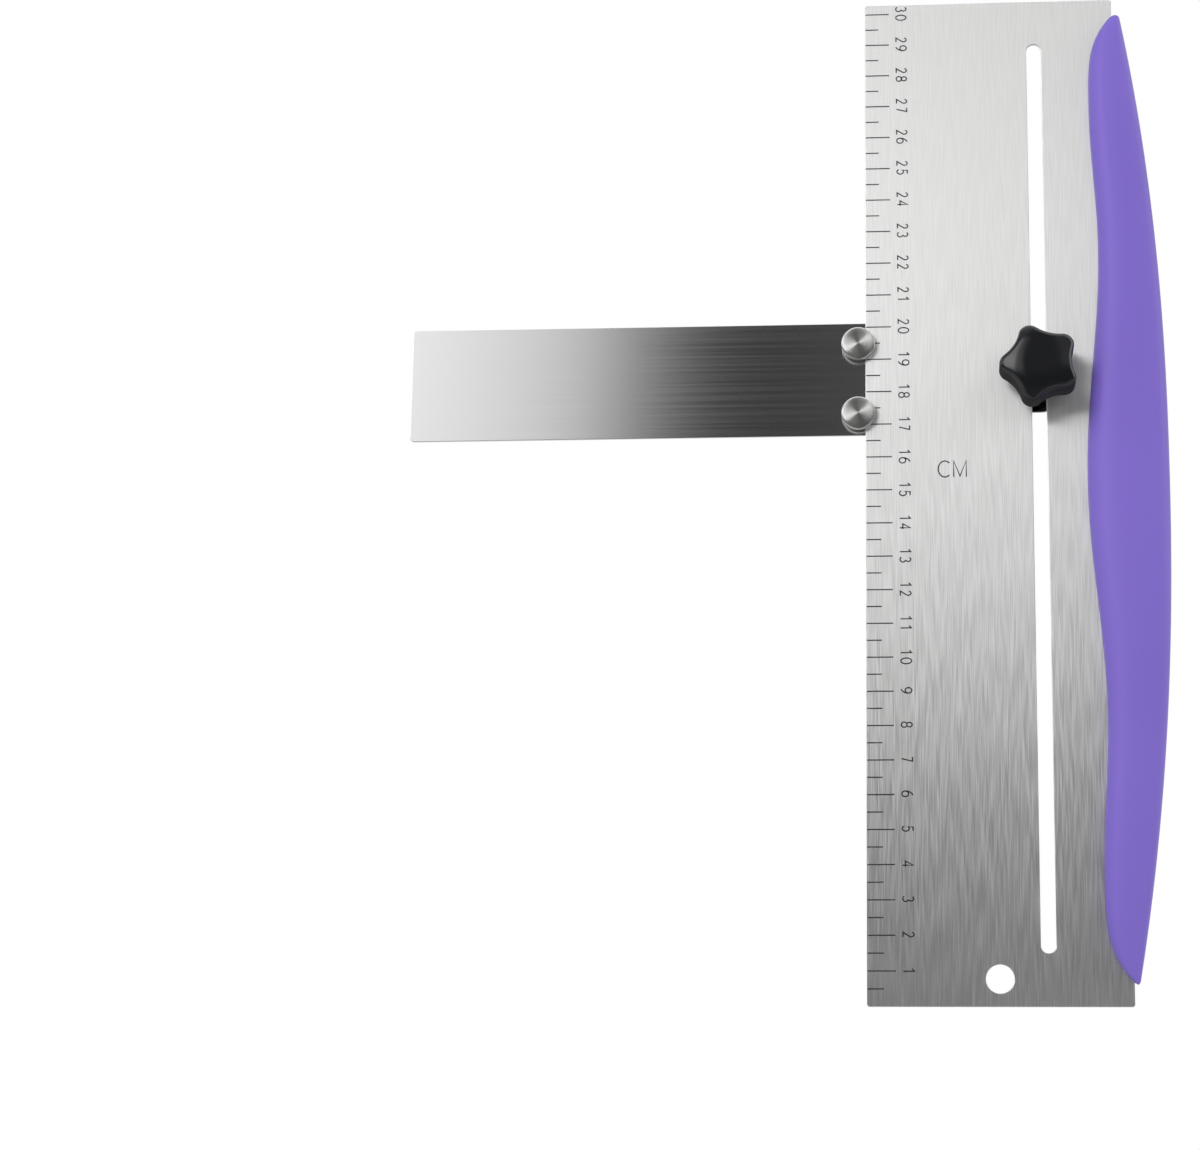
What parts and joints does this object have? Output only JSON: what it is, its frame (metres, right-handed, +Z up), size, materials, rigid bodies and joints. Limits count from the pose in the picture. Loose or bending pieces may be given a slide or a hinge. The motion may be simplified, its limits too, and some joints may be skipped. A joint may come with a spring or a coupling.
{
  "type": "adjustable cake scraper",
  "caption": "Slotted steel ruler plate with a crescent handle and a levelling blade that slides along its edge and clamps with a star knob, for smoothing cake sides and tops.",
  "frame": {"origin": "middle of the plate's bottom edge, which is the zero of its centimetre scale", "axes": "+Z up along the scale, the scale and the knob face -Y, +X towards the handle and -X towards the levelling blade's free end"},
  "size_m": [0.2252, 0.0224, 0.303],
  "materials": {
    "brushed_plate": "brushed lengthwise",
    "polished_blade": "polished",
    "turned_stud": "turned",
    "plated_fastener": "zinc plated",
    "brass_bush": "turned",
    "handle_plastic": "satin moulded",
    "knob_plastic": "gloss moulded"
  },
  "bodies": {
    "scraper_body": {"scraper_plate": "brushed_plate", "handle_front_half": "handle_plastic", "handle_rear_half": "handle_plastic"},
    "blade_carriage": {"levelling_blade": "polished_blade", "guide_stud_upper": "turned_stud", "guide_stud_lower": "turned_stud", "stud_screw_upper": "plated_fastener", "stud_screw_lower": "plated_fastener", "clamp_bolt": "plated_fastener"},
    "washer_slider": {"knob_washer": "plated_fastener"},
    "knob": {"clamp_knob": "knob_plastic", "knob_insert": "brass_bush"}
  },
  "joints": [
    {"name": "height_slide", "type": "slide", "parent": "scraper_body", "child": "blade_carriage", "axis": [0, 0, 1], "range_m": [-0.167, 0.1024]},
    {"name": "knob_travel", "type": "slide", "parent": "blade_carriage", "child": "washer_slider", "axis": [0, -1, 0], "range_m": [0, 0.0014]},
    {"name": "knob_turn", "type": "hinge", "parent": "washer_slider", "child": "knob", "pos_m": [0.0137, -0.009, 0.1843], "axis": [0, -1, 0], "range_deg": [0, 720]}
  ],
  "couplings": [
    {"joint": "knob_travel", "follows": "knob_turn", "m_per_rad": 0.0001114}
  ]
}
